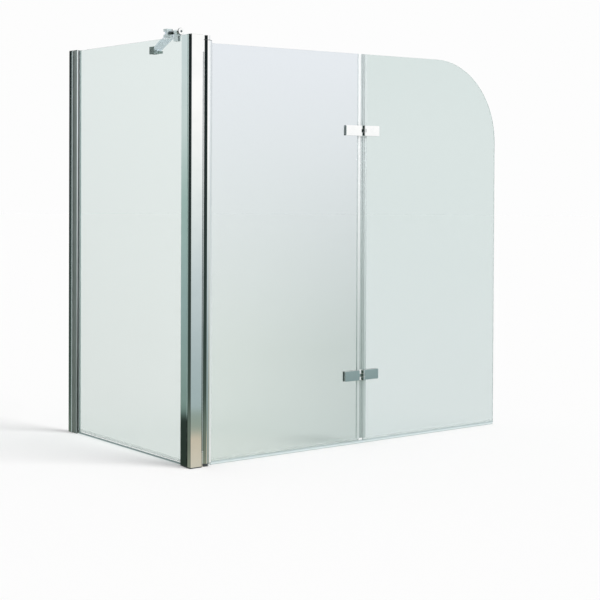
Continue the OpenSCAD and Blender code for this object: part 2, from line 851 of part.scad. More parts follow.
// -------------------------------------------------------------- support arm

module glass_clamp() {
    slot_w = glass_t + 2 * clamp_pad_t;
    color("silver") difference() {
        union() {
            box([x_side - clamp_w / 2, clamp_y0, side_top - clamp_grip],
                [x_side + clamp_w / 2, clamp_y1, side_top + clamp_top]);
            box([x_side - neck_w / 2, clamp_y0, side_top + clamp_top - eps],
                [x_side + neck_w / 2, clamp_y1, arm_z]);
            translate([x_side, clamp_y1, arm_z]) rotate([90, 0, 0]) cylinder(h = clamp_len, r = eye_r);
        }
        box([x_side - slot_w / 2, clamp_y0 - 1, side_top - clamp_grip - 1],
            [x_side + slot_w / 2, clamp_y1 + 1, side_top + clamp_pad_t]);
        translate([x_side, clamp_y1 + 1, arm_z]) rotate([90, 0, 0])
            cylinder(h = clamp_len + 2, r = bolt_r + hold_gap);
        clamp_screw_places() cylinder(h = clamp_w, r = set_r + hold_gap, center = true);
    }
}

// Along +X, from the pad to the clamp's inner face
module clamp_screw_places() {
    for (y = [clamp_y - clamp_len / 4, clamp_y + clamp_len / 4])
        translate([x_side + clamp_w / 2, y, side_top - clamp_grip / 2]) rotate([0, 90, 0]) children();
}

module clamp_pad() {
    color("dimgray") difference() {
        box([x_side - glass_t / 2 - clamp_pad_t, clamp_y0, side_top - clamp_grip],
            [x_side + glass_t / 2 + clamp_pad_t, clamp_y1, side_top + clamp_pad_t]);
        box([x_side - glass_t / 2, clamp_y0 - 1, side_top - clamp_grip - 1],
            [x_side + glass_t / 2, clamp_y1 + 1, side_top]);
    }
}

module clamp_screws() {
    jaw = clamp_w / 2 - glass_t / 2 - clamp_pad_t;
    color("gray") clamp_screw_places() translate([0, 0, -jaw])
        difference() {
            cylinder(h = jaw - 0.3, r = set_r);
            translate([0, 0, jaw - 0.3 - set_r]) cylinder(h = jaw, r = set_r / 2, $fn = 6);
        }
}

module clamp_bolt() {
    color("silver") translate([x_side, clamp_y0, arm_z]) rotate([-90, 0, 0]) difference() {
        union() {
            translate([0, 0, -bolt_head_t]) cylinder(h = bolt_head_t, r = bolt_head_r);
            cylinder(h = clamp_len + bolt_bite, r = bolt_r);
        }
        translate([0, 0, -bolt_head_t - 1]) cylinder(h = hex_depth + 1, r = bolt_r, $fn = 6);
    }
}

// A fork with its pin at the origin, slot open towards +Y, stub towards -Y
module fork(stub_length) {
    difference() {
        union() {
            translate([-fork_w / 2, -fork_w / 2, -fork_h / 2]) cube([fork_w, fork_w, fork_h]);
            translate([0, -fork_w / 2 + eps, 0]) rotate([90, 0, 0])
                cylinder(h = stub_length + eps, r = stub_r);
        }
        translate([-fork_w, -fork_w / 2 + fork_wall, -slot_h / 2]) cube([2 * fork_w, fork_w, slot_h]);
        translate([0, 0, -fork_h]) cylinder(h = 2 * fork_h, r = fork_pin_r + hold_gap);
    }
}

module fork_pin() {
    translate([0, 0, -fork_h / 2]) cylinder(h = fork_h, r = fork_pin_r);
}

module head_fork() {
    color("silver") translate([x_side, head_y, arm_z]) difference() {
        fork(stub_len);
        translate([0, -fork_w / 2 - stub_len - 1, 0]) rotate([-90, 0, 0])
            cylinder(h = bolt_bite + 2, r = bolt_r + hold_gap);
    }
}

module head_pin() {
    color("gray") translate([x_side, head_y, arm_z]) fork_pin();
}

// The arm's own frame: along +X from the head pin
module along_arm() {
    translate([x_side, head_y, arm_z]) rotate([0, 0, 90 - arm_angle]) children();
}

module arm_bar() {
    inner_w = bar_w - 2 * bar_wall;
    inner_h = bar_h - 2 * bar_wall;
    color("lightsteelblue") along_arm() rotate([0, -climb, 0]) difference() {
        translate([bar_start, -bar_w / 2, -bar_h / 2]) cube([bar_len - 2 * bar_start, bar_w, bar_h]);
        translate([0, -inner_w / 2, -inner_h / 2]) cube([bar_len, inner_w, inner_h]);
    }
}

// A level tongue on its pin, with a plug that fills the end of the bar
module tongue(slope) {
    plug_w = bar_w - 2 * bar_wall - 2 * plug_gap;
    plug_h = bar_h - 2 * bar_wall - 2 * plug_gap;
    difference() {
        union() {
            translate([0, 0, -tongue_t / 2]) cylinder(h = tongue_t, r = tongue_r);
            translate([0, -tongue_r, -tongue_t / 2]) cube([bar_start + 1, 2 * tongue_r, tongue_t]);
            rotate([0, -slope, 0]) translate([bar_start, -plug_w / 2, -plug_h / 2])
                cube([bar_plug, plug_w, plug_h]);
        }
        translate([0, 0, -slot_h]) cylinder(h = 2 * slot_h, r = fork_pin_r + run_gap);
    }
}

module head_tongue() {
    color("silver") along_arm() tongue(climb);
}

module foot_tongue() {
    color("silver") along_arm() translate([arm_len, 0, foot_rise]) rotate([0, 0, 180]) tongue(-climb);
}

module foot_fork() {
    color("silver") translate([foot_x, foot_y, foot_z]) rotate([0, 0, 180]) {
        fork(foot_stub);
        translate([0, -fork_w / 2 - foot_stub + eps, 0]) rotate([90, 0, 0])
            cylinder(h = spigot_d - 0.3, r = bolt_r);
    }
}

module foot_pin() {
    color("gray") translate([foot_x, foot_y, foot_z]) fork_pin();
}

module wall_foot() {
    color("silver") difference() {
        box([foot_x - foot_w / 2, wall_y - foot_d, foot_z - foot_h / 2],
            [foot_x + foot_w / 2, wall_y, foot_z + foot_h / 2]);
        translate([foot_x, wall_y + 1, foot_z]) rotate([90, 0, 0]) cylinder(h = stud_d + 1, r = stud_r);
        translate([foot_x, wall_y - foot_d + spigot_d, foot_z]) rotate([90, 0, 0])
            cylinder(h = spigot_d + 1, r = bolt_r + hold_gap);
        for (y = set_screw_y) translate([foot_x, y, foot_z - foot_h / 2 - 1])
            cylinder(h = foot_h / 2, r = set_r + hold_gap);
    }
}

set_screw_y = [wall_y - stud_d / 2, wall_y - foot_d + spigot_d / 2];
set_screw_top = [-stud_r - 0.3, -bolt_r];

module foot_set_screws() {
    z0 = 0.5 - foot_h / 2;
    color("gray") for (i = [0, 1]) translate([foot_x, set_screw_y[i], foot_z])
        difference() {
            translate([0, 0, z0]) cylinder(h = set_screw_top[i] - z0, r = set_r);
            translate([0, 0, z0 - 1]) cylinder(h = 1 + set_r, r = set_r / 2, $fn = 6);
        }
}

wall_channel();
wall_channel_cap();
glazing_profile();
side_screws();
side_screw_caps();
side_glass();
wall_gaskets();
post_gaskets();
side_bottom_seal();
post_channel();
channel_screws();
corner_post();
post_cap();
post_foot();
pivot_seal();
top_bracket();
bottom_bracket();
bracket_screws();
top_pin();
bottom_pin();
glass_clamp();
clamp_pad();
clamp_screws();
clamp_bolt();
head_fork();
head_pin();
pivot_profile();
top_bush();
bottom_bush();
leaf_1_glass();
pivot_gaskets();
leaf_1_bottom_seal();
leaf_1_fold_seal();
upper_hinge_plate_1();
upper_hinge_inner_plate_1();
upper_hinge_pads_1();
lower_hinge_plate_1();
lower_hinge_inner_plate_1();
lower_hinge_pads_1();
hinge_screws_1();
leaf_2_glass();
leaf_2_bottom_seal();
leaf_2_fold_seal();
upper_hinge_plate_2();
upper_hinge_inner_plate_2();
upper_hinge_pads_2();
lower_hinge_plate_2();
lower_hinge_inner_plate_2();
lower_hinge_pads_2();
hinge_screws_2();
upper_hinge_pin();
lower_hinge_pin();
arm_bar();
head_tongue();
foot_tongue();
foot_fork();
foot_pin();
wall_foot();
foot_set_screws();
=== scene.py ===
"""Looks of the folding bath screen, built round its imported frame. Metres, in the frame's own axes."""

import json
import math

import bmesh
import bpy
from mathutils import Matrix, Vector

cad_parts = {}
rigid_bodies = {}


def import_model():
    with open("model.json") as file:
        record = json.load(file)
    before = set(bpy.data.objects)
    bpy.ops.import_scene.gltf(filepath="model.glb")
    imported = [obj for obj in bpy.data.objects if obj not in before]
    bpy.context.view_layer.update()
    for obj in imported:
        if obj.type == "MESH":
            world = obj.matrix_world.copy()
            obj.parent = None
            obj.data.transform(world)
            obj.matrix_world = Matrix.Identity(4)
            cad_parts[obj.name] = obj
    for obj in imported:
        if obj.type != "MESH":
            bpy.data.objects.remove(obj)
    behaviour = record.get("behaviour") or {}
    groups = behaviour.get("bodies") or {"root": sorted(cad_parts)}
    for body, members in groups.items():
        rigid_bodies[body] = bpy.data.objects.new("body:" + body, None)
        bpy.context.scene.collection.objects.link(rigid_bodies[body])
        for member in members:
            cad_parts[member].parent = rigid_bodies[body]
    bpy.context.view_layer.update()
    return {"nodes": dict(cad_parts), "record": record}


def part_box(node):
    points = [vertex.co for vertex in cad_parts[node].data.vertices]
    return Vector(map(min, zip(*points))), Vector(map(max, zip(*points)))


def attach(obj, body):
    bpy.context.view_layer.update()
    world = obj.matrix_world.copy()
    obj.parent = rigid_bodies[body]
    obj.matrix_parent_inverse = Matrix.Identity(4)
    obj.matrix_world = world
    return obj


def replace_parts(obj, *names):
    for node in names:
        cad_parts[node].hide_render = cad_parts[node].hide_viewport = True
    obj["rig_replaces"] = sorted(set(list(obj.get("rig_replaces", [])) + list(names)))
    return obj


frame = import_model()
scene = bpy.context.scene

MM = 0.001
SHARP_TURN = 32.0   # degrees between two faces, above which their edge stays crisp
PROFILE_TURN = 8.5  # the same on the post's profiles, whose flat sides have to mirror evenly


def srgb(r, g, b):
    """A colour as a photograph writes it, 0 to 255, made linear."""
    def linear(value):
        value /= 255.0
        return value / 12.92 if value <= 0.04045 else ((value + 0.055) / 1.055) ** 2.4

    return (linear(r), linear(g), linear(b), 1.0)


# ------------------------------------------------------------------ node helpers

def join(tree, value, into):
    """Feeds an input from a socket, or sets it to a plain number, vector or colour."""
    if isinstance(value, bpy.types.NodeSocket):
        tree.links.new(value, into)
    else:
        into.default_value = value


def fill(tree, node, **values):
    """The node, with inputs fed or set by name."""
    for key, value in values.items():
        join(tree, value, node.inputs[key.replace("_", " ")])
    return node


def put(tree, kind, **values):
    """A new node, with properties set and inputs fed or set by name."""
    node = tree.nodes.new(kind)
    for key, value in values.items():
        if hasattr(node, key):
            setattr(node, key, value)
        else:
            fill(tree, node, **{key: value})
    return node


def put_group(tree, group, **values):
    """A node that runs a shared group."""
    return fill(tree, put(tree, "ShaderNodeGroup", node_tree=group), **values)


def maths(tree, operation, a, b, clamp=False):
    """The product, sum or the like of two values."""
    node = put(tree, "ShaderNodeMath", operation=operation, use_clamp=clamp)
    join(tree, a, node.inputs[0])
    join(tree, b, node.inputs[1])
    return node.outputs[0]


def vector_maths(tree, operation, a, b):
    """The same of two vectors. A dot product comes out as a value."""
    node = put(tree, "ShaderNodeVectorMath", operation=operation)
    join(tree, a, node.inputs[0])
    join(tree, b, node.inputs[1])
    return node.outputs["Value" if operation == "DOT_PRODUCT" else "Vector"]


def span(tree, source, low, high, to_low=0.0, to_high=1.0):
    """The source's range from low to high laid onto to_low to to_high, and held at its ends."""
    node = tree.nodes.new("ShaderNodeMapRange")
    for socket, value in zip(node.inputs, (source, low, high, to_low, to_high)):
        join(tree, value, socket)
    return node.outputs[0]


def mixed(tree, factor, a, b):
    """Two colours mixed; each is a socket or a plain colour."""
    node = put(tree, "ShaderNodeMix", data_type="RGBA")
    for index, value in ((0, factor), (6, a), (7, b)):
        join(tree, value, node.inputs[index])
    return node.outputs[2]


def mixed_shaders(tree, factor, a, b):
    """The first shader where the factor is 0, the second where it is 1."""
    node = tree.nodes.new("ShaderNodeMixShader")
    for socket, value in zip(node.inputs, (factor, a, b)):
        join(tree, value, socket)
    return node.outputs[0]


def ramp(tree, source, stops):
    """A colour ramp over (place, colour) stops."""
    node = tree.nodes.new("ShaderNodeValToRGB")
    elements = node.color_ramp.elements
    while len(elements) > 1:
        elements.remove(elements[-1])
    elements[0].position, elements[0].color = stops[0]
    for place, colour in stops[1:]:
        elements.new(place).color = colour
    join(tree, source, node.inputs[0])
    return node.outputs["Color"]


def object_place(tree):
    """The place on the piece, which is its place in the frame."""
    return put(tree, "ShaderNodeTexCoord").outputs["Object"]


def axes_of(tree, vector):
    """The vector's three parts, by name."""
    return put(tree, "ShaderNodeSeparateXYZ", Vector=vector).outputs


# ------------------------------------------------------------------ shared groups

def new_group(name, inputs, outputs):
    """An empty group with its (name, kind, value) inputs and (name, kind) outputs."""
    tree = bpy.data.node_groups.new(name, "ShaderNodeTree")
    for title, kind, value in inputs:
        tree.interface.new_socket(title, in_out="INPUT", socket_type=kind).default_value = value
    for title, kind in outputs:
        tree.interface.new_socket(title, in_out="OUTPUT", socket_type=kind)
    return tree, tree.nodes.new("NodeGroupInput").outputs, tree.nodes.new("NodeGroupOutput")


def build_polish_haze():
    """Faint hand and cloth marks on a polished face: a mask, a roughness and a height."""
    tree, given, result = new_group(
        "polish_haze",
        [("Base Roughness", "NodeSocketFloat", 0.05), ("Haze", "NodeSocketFloat", 0.05),
         ("Smudge Scale", "NodeSocketFloat", 14.0), ("Line Scale", "NodeSocketFloat", 900.0),
         ("Stretch", "NodeSocketVector", (1.0, 1.0, 0.03))],
        [("Mask", "NodeSocketFloat"), ("Roughness", "NodeSocketFloat"), ("Height", "NodeSocketFloat")])
    place = object_place(tree)
    smudge = put(tree, "ShaderNodeTexNoise", Vector=place, Scale=given["Smudge Scale"],
                 Detail=4.0, Roughness=0.62).outputs["Fac"]
    drawn = vector_maths(tree, "MULTIPLY", place, given["Stretch"])
    lines = put(tree, "ShaderNodeTexNoise", Vector=drawn, Scale=given["Line Scale"],
                Detail=2.0, Roughness=0.5).outputs["Fac"]
    mask = maths(tree, "MULTIPLY", span(tree, smudge, 0.38, 0.72),
                 span(tree, lines, 0.3, 0.7, 0.55, 1.0))
    rough = maths(tree, "ADD", given["Base Roughness"], maths(tree, "MULTIPLY", mask, given["Haze"]))
    fill(tree, result, Mask=mask, Roughness=rough, Height=lines)
    return tree


def build_edge_wear():
    """Where edges stand out: a mask that is 1 on a worn edge, broken up by fine noise."""
    tree, given, result = new_group(
        "edge_wear",
        [("Radius", "NodeSocketFloat", 0.001), ("Amount", "NodeSocketFloat", 0.6)],
        [("Mask", "NodeSocketFloat")])
    rounded = put(tree, "ShaderNodeBevel", samples=4, Radius=given["Radius"]).outputs[0]
    surface = put(tree, "ShaderNodeNewGeometry").outputs["Normal"]
    edge = span(tree, vector_maths(tree, "DOT_PRODUCT", rounded, surface), 0.995, 0.90)
    grit = put(tree, "ShaderNodeTexNoise", Vector=object_place(tree), Scale=420.0, Detail=3.0)
    broken = maths(tree, "MULTIPLY", edge, span(tree, grit.outputs["Fac"], 0.35, 0.65), clamp=True)
    fill(tree, result, Mask=maths(tree, "MULTIPLY", broken, given["Amount"]))
    return tree


def build_water_marks():
    """Dried drops in patches: a mask that is 1 on the rim of a drop."""
    tree, given, result = new_group(
        "water_marks",
        [("Scale", "NodeSocketFloat", 55.0), ("Amount", "NodeSocketFloat", 0.5)],
        [("Mask", "NodeSocketFloat")])
    place = object_place(tree)
    tall = put(tree, "ShaderNodeMapping", Vector=place, Scale=(1.0, 1.0, 0.45)).outputs[0]
    drops = put(tree, "ShaderNodeTexVoronoi", feature="F1", Vector=tall, Scale=given["Scale"],
                Randomness=1.0).outputs["Distance"]
    ring = maths(tree, "SUBTRACT", span(tree, drops, 0.10, 0.14), span(tree, drops, 0.16, 0.22),
                 clamp=True)
    patch = put(tree, "ShaderNodeTexNoise", Vector=place, Scale=3.0, Detail=2.0).outputs["Fac"]
    some = maths(tree, "MULTIPLY", ring, span(tree, patch, 0.52, 0.68))
    fill(tree, result, Mask=maths(tree, "MULTIPLY", some, given["Amount"]))
    return tree


POLISH_HAZE = build_polish_haze()
EDGE_WEAR = build_edge_wear()
WATER_MARKS = build_water_marks()


# ------------------------------------------------------------------ finishes

def start_finish(name):
    """A material with a principled shader on its output, and nothing else."""
    material = bpy.data.materials.new(name)
    material.use_nodes = True
    tree = material.node_tree
    tree.nodes.clear()
    shader = tree.nodes.new("ShaderNodeBsdfPrincipled")
    result = put(tree, "ShaderNodeOutputMaterial", Surface=shader.outputs[0])
    return material, tree, shader, result


def relief(tree, marks, strength, depth):
    """A normal for the fine lines of the marks, their depth in metres."""
    return put(tree, "ShaderNodeBump", Strength=strength, Distance=depth,
               Height=marks["Height"]).outputs[0]


def metal(name, colour, haze_colour, roughness, haze, stretch=(1.0, 1.0, 0.03), depth=0.00002,
          worn=None):
    """A polished or brushed metal with haze, draw lines and, if asked, worn edges."""
    material, tree, shader, _ = start_finish(name)
    marks = put_group(tree, POLISH_HAZE, Base_Roughness=roughness, Haze=haze, Stretch=stretch,
                      Smudge_Scale=14.0, Line_Scale=900.0).outputs
    tone = mixed(tree, marks["Mask"], colour, haze_colour)
    if worn:
        edge = put_group(tree, EDGE_WEAR, Radius=0.0008, Amount=0.7).outputs["Mask"]
        tone = mixed(tree, edge, tone, worn)
    fill(tree, shader, Base_Color=tone, Roughness=marks["Roughness"], Metallic=1.0,
         Normal=relief(tree, marks, 0.25, depth))
    return material


def satin(name, colour, mark_colour, roughness, metallic):
    """Satin anodised aluminium, drawn along its length."""
    material, tree, shader, _ = start_finish(name)
    marks = put_group(tree, POLISH_HAZE, Base_Roughness=roughness, Haze=0.08,
                      Stretch=(1.0, 1.0, 0.01), Smudge_Scale=9.0, Line_Scale=1400.0).outputs
    fill(tree, shader, Base_Color=mixed(tree, marks["Mask"], colour, mark_colour),
         Roughness=marks["Roughness"], Metallic=metallic, Normal=relief(tree, marks, 0.3, 0.00004))
    return material


def soft_plastic(name, colour, mark_colour, roughness, painted_glow=0.0):
    """Rubber and moulded plastic: fine grain and drift of tone. The painted glow is painted light: it
    stands for the light that an edge of glass leads to it."""
    material, tree, shader, _ = start_finish(name)
    marks = put_group(tree, POLISH_HAZE, Base_Roughness=roughness, Haze=0.12,
                      Stretch=(1.0, 1.0, 0.08), Smudge_Scale=22.0, Line_Scale=260.0).outputs
    fill(tree, shader, Base_Color=mixed(tree, marks["Mask"], colour, mark_colour),
         Roughness=marks["Roughness"], Normal=relief(tree, marks, 0.4, 0.00006),
         Emission_Color=colour, Emission_Strength=painted_glow)
    return material


def pass_by(tree, shader, result, tint):
    """Lets lamp light and soft bounced light through, so a pane throws only a faint shadow."""
    path = put(tree, "ShaderNodeLightPath").outputs
    clear = put(tree, "ShaderNodeBsdfTransparent", Color=tint).outputs[0]
    soft = maths(tree, "MAXIMUM", path["Is Shadow Ray"], path["Is Diffuse Ray"])
    fill(tree, result, Surface=mixed_shaders(tree, soft, shader.outputs[0], clear))


def pane_glass(name, near, z_range, far=None, x_range=(0.0, 1.0)):
    """Clear toughened glass. Its colour drifts over the pane, as photographed, and the drift is painted
    light and shade: near and far are the low and high colours at the near and the far end, near alone
    if there is no drift."""
    material, tree, shader, result = start_finish(name)
    place = object_place(tree)
    axes = axes_of(tree, place)
    up = span(tree, axes["Z"], *z_range)
    along = span(tree, axes["X"], *x_range)
    # painted light and shade: the pane's colour by height and along it
    body = mixed(tree, along, mixed(tree, up, *near), mixed(tree, up, *(far or near)))
    cloud = put(tree, "ShaderNodeTexNoise", Vector=place, Scale=2.3, Detail=3.0).outputs["Fac"]
    body = mixed(tree, span(tree, cloud, 0.3, 0.7, 0.0, 0.05), body, (0.8, 0.86, 0.86, 1.0))
    marks = put_group(tree, WATER_MARKS, Scale=70.0, Amount=0.22).outputs["Mask"]
    fill(tree, shader, Base_Color=body, Roughness=maths(tree, "MULTIPLY", marks, 0.05),
         Transmission_Weight=1.0, IOR=1.5)
    pass_by(tree, shader, result, (0.975, 0.985, 0.983, 1.0))
    return material


def clear_vinyl(name, low, high=None, transmission=0.0, alpha=1.0, rise=(0.35, 1.1), painted_glow=0.0):
    """Clear extruded vinyl, an edge of glass or the edge of a profile: the low colour below the
    rise and, if there is one, the high colour above it. On a metal profile's edge these colours are
    painted reflections and painted shade. The painted glow is painted light, which stands for light
    that neighbours lead to it."""
    material, tree, shader, result = start_finish(name)
    height = axes_of(tree, object_place(tree))["Z"]
    marks = put_group(tree, POLISH_HAZE, Base_Roughness=0.12, Haze=0.10, Stretch=(1.0, 1.0, 0.02),
                      Smudge_Scale=18.0, Line_Scale=1200.0).outputs
    body = mixed(tree, span(tree, height, *rise), low, high or low)
    body = mixed(tree, maths(tree, "MULTIPLY", marks["Mask"], 0.12), body, srgb(190, 198, 198))
    fill(tree, shader, Base_Color=body, Roughness=marks["Roughness"],
         Normal=relief(tree, marks, 0.3, 0.00003), Transmission_Weight=transmission, Alpha=alpha,
         IOR=1.45, Emission_Color=body, Emission_Strength=painted_glow)
    pass_by(tree, shader, result, (0.88, 0.91, 0.90, 1.0))
    return material


BRIGHT = metal("bright_profile", srgb(254, 254, 254), srgb(247, 248, 248), 0.025, 0.03)
CHROME = metal("polished_chrome", srgb(254, 254, 254), srgb(243, 245, 246), 0.025, 0.04,
               stretch=(0.2, 1.0, 1.0), worn=srgb(250, 250, 250))
DARK_CHROME = metal("dark_chrome", srgb(120, 128, 132), srgb(96, 104, 108), 0.08, 0.06)
STEEL = metal("brushed_steel", srgb(178, 181, 184), srgb(150, 153, 156), 0.22, 0.12,
              stretch=(1.0, 1.0, 0.2), depth=0.00005)

# One satin metal in several tones. The bar's paler tone is partly painted light; the darker fork and foot
# tones are painted shade; the arm's satin also lays painted highlights on other profiles.
ARM_SATIN_AND_HIGHLIGHT = satin("satin_arm", srgb(222, 236, 236), srgb(205, 219, 220), 0.30, 0.25)
BAR_SATIN = satin("satin_bar", srgb(240, 249, 255), srgb(228, 238, 250), 0.40, 0.0)
FORK_SATIN_SHADED = satin("satin_fork_painted_shade", srgb(178, 196, 193), srgb(160, 178, 175), 0.32, 0.35)
FOOT_SATIN_SHADED = satin("satin_foot_painted_shade", srgb(118, 138, 132), srgb(92, 110, 104), 0.32, 0.40)
SIDE_SATIN = satin("satin_side_profile", srgb(180, 190, 187), srgb(162, 173, 169), 0.34, 0.75)

RUBBER = soft_plastic("dark_rubber", srgb(46, 52, 54), srgb(66, 72, 74), 0.55)
GREY_RUBBER = soft_plastic("grey_rubber", srgb(186, 194, 194), srgb(170, 178, 178), 0.5)
# The inner gasket's glass side: grey rubber with painted glow, painted light that stands for the light
# that comes through the glass.
GLOW_PAINTED_RUBBER = soft_plastic("grey_rubber_painted_glow", srgb(186, 194, 194), srgb(170, 178, 178), 0.5,
                          painted_glow=0.42)
PALE_RUBBER = soft_plastic("pale_rubber", srgb(214, 220, 220), srgb(196, 204, 205), 0.45)
GREY_PLASTIC = soft_plastic("moulded_grey_plastic", srgb(62, 66, 68), srgb(80, 84, 86), 0.42)

SEAL_LEG = clear_vinyl("vinyl_white_leg", srgb(200, 208, 206), srgb(253, 254, 254), 0.15)
SEAL_FAR_LEG = clear_vinyl("vinyl_far_leg", srgb(196, 206, 204), srgb(232, 238, 238), 0.35)
SEAL_BULB = clear_vinyl("vinyl_bulb", srgb(190, 201, 198), srgb(224, 230, 231), 0.45)
SEAL_GRIP = clear_vinyl("vinyl_grip", srgb(222, 230, 228), alpha=0.07)
SEAL_SWEEP = clear_vinyl("vinyl_sweep", srgb(232, 240, 241), transmission=0.30)
SEAL_WEB = clear_vinyl("vinyl_web", srgb(200, 211, 212), transmission=0.25)
# The bottom band of each bottom seal, darker grey: painted contact shadow where the seal meets the floor.
SEAL_CONTACT_SHADOW = clear_vinyl("vinyl_painted_contact_shadow", srgb(160, 174, 174), transmission=0.25)

LEAF_EDGE = clear_vinyl("leaf_pane_edge", srgb(158, 174, 168), srgb(176, 190, 186), 0.5)
SIDE_EDGE = clear_vinyl("side_pane_edge", srgb(120, 140, 134), srgb(112, 132, 128), 0.3)
GLASS_TAPE = clear_vinyl("tape_on_side_pane", srgb(184, 194, 192), srgb(186, 197, 196), 0.6)
# The panes' colour by height, and along the first leaf, is painted light and shade.
SIDE_GLASS = pane_glass("side_pane_glass", (srgb(231, 238, 235), srgb(238, 246, 244)), (0.2, 1.3))
LEAF_1_GLASS = pane_glass("first_leaf_glass", (srgb(216, 225, 220), srgb(231, 236, 241)), (0.35, 1.35),
                          far=(srgb(201, 211, 208), srgb(231, 236, 241)), x_range=(0.1, 0.69))
LEAF_2_GLASS = pane_glass("second_leaf_glass", (srgb(221, 230, 229), srgb(217, 228, 226)), (0.2, 1.3))

# The glazing profile's near lip: painted reflection, dark low down and white high up.
PROFILE_LIP_PAINTED_REFLECTION = clear_vinyl("glazing_profile_lip", srgb(58, 64, 58), srgb(250, 253, 254),
                          rise=(0.18, 1.15))
# The post's rounded front corners and the front of its inner side: painted reflection, darker towards the
# bottom.
POST_CORNER_PAINTED_REFLECTION = clear_vinyl("post_corner_painted_reflection", srgb(64, 72, 66), srgb(96, 104, 102))
POST_INNER_PAINTED_REFLECTION = clear_vinyl("post_inner_painted_reflection", srgb(48, 56, 48), srgb(240, 243, 243),
                                rise=(0.45, 1.3))
# The pivot's strip where it turns into the glass pocket: painted shade, darker towards the bottom.
PIVOT_LIP_PAINTED_SHADE = clear_vinyl("pivot_lip_painted_shade", srgb(138, 146, 136), srgb(236, 240, 241), rise=(0.25, 1.15))
# The post channel's lip in the notch: dark at its very foot and pale above, a painted reflection, with
# painted glow, painted light where the notch lies in shade.
CHANNEL_LIP_PAINTED_LIGHT = clear_vinyl("channel_lip_painted_light", srgb(30, 38, 34), srgb(150, 172, 167),
                          rise=(0.15, 0.18), painted_glow=0.25)

FINISH_OF_SLOT = {"post_profile": BRIGHT, "chrome": CHROME, "arm_chrome": ARM_SATIN_AND_HIGHLIGHT, "steel": STEEL,
                  "clear_seal": SEAL_LEG, "gasket": RUBBER, "pale_gasket": PALE_RUBBER,
                  "grey_plastic": GREY_PLASTIC}
FINISH_OF_NODE = {"side_glass": SIDE_GLASS, "leaf_1_glass": LEAF_1_GLASS, "leaf_2_glass": LEAF_2_GLASS,
                  "glazing_profile": SIDE_SATIN, "glass_clamp": ARM_SATIN_AND_HIGHLIGHT, "head_fork": ARM_SATIN_AND_HIGHLIGHT,
                  "wall_foot": FOOT_SATIN_SHADED, "foot_fork": FORK_SATIN_SHADED, "arm_bar": BAR_SATIN,
                  "head_tongue": BAR_SATIN, "foot_tongue": BAR_SATIN, "clamp_bolt": CHROME}
slot_of = {part["node"]: part["material_slot"] for part in frame["record"]["subparts"]}
body_of = {name: body for body, names in frame["record"]["behaviour"]["bodies"].items() for name in names}


def finish_for(node):
    """The node's own finish, or else that of its material slot."""
    return FINISH_OF_NODE.get(node) or FINISH_OF_SLOT[slot_of[node]]


# ------------------------------------------------------------------ mesh helpers

def own_shape(node):
    """A merged copy of the node's own mesh, its flat faces whole."""
    bm = bmesh.new()
    bm.from_mesh(frame["nodes"][node].data)
    bmesh.ops.remove_doubles(bm, verts=bm.verts, dist=0.005 * MM)
    bmesh.ops.dissolve_limit(bm, angle_limit=math.radians(1.0), verts=bm.verts, edges=bm.edges)
    return bm


def cut(bm, axis, place):
    """Cuts the faces along a plane square to the x, y or z axis, and keeps both sides."""
    square = Vector([float(axis == name) for name in "xyz"])
    bmesh.ops.bisect_plane(bm, geom=bm.verts[:] + bm.edges[:] + bm.faces[:], dist=1e-6,
                           plane_co=square * place, plane_no=square)


def pull(bm, faces, way):
    """Draws flat faces out into a solid, the way and as far as the vector says."""
    pulled = bmesh.ops.extrude_face_region(bm, geom=faces)["geom"]
    bmesh.ops.translate(bm, vec=way, verts=[v for v in pulled if isinstance(v, bmesh.types.BMVert)])


def round_edges(bm, width):
    """Rounds each edge where the faces turn by more than 28 degrees, by a width in mm."""
    edges = [e for e in bm.edges
             if len(e.link_faces) == 2 and e.calc_face_angle(0.0) > math.radians(28.0)]
    bmesh.ops.bevel(bm, geom=edges, offset=width * MM, offset_type="OFFSET", affect="EDGES",
                    segments=3, profile=0.5, material=-1, clamp_overlap=True)


def paint(bm, pick):
    """Each face takes the finish whose number pick gives for its centre and normal."""
    for face in bm.faces:
        face.material_index = int(pick(face.calc_center_median(), face.normal))


def finished(bm, name, node, finishes=(), sharp=SHARP_TURN, stands_for=True):
    """Makes the mesh an object that rides on its node's body, and stands for the node unless it is
    only a detail on it. It takes the node's own finish if none are given."""
    for face in bm.faces:
        face.smooth = True
    for edge in bm.edges:
        edge.smooth = len(edge.link_faces) == 2 and edge.calc_face_angle(0.0) < math.radians(sharp)
    mesh = bpy.data.meshes.new(name)
    bm.to_mesh(mesh)
    bm.free()
    for finish in finishes or [finish_for(node)]:
        mesh.materials.append(finish)
    piece = bpy.data.objects.new(name, mesh)
    scene.collection.objects.link(piece)
    piece.modifiers.new("even_faces", "WEIGHTED_NORMAL").keep_sharp = True
    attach(piece, body_of[node])
    if stands_for:
        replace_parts(piece, node)


def softened(node, width, pick=None, others=(), sharp=SHARP_TURN, reshape=None):
    """The node's own shape, reshaped if asked, with its edges rounded, as a finished casting or cut
    part has. Where pick gives 1 or more, a face takes one of the other finishes."""
    bm = own_shape(node)
    if reshape:
        reshape(bm)
    if width:
        round_edges(bm, width)
    if pick:
        paint(bm, pick)
    finished(bm, node + "_rounded", node, [finish_for(node), *others], sharp)


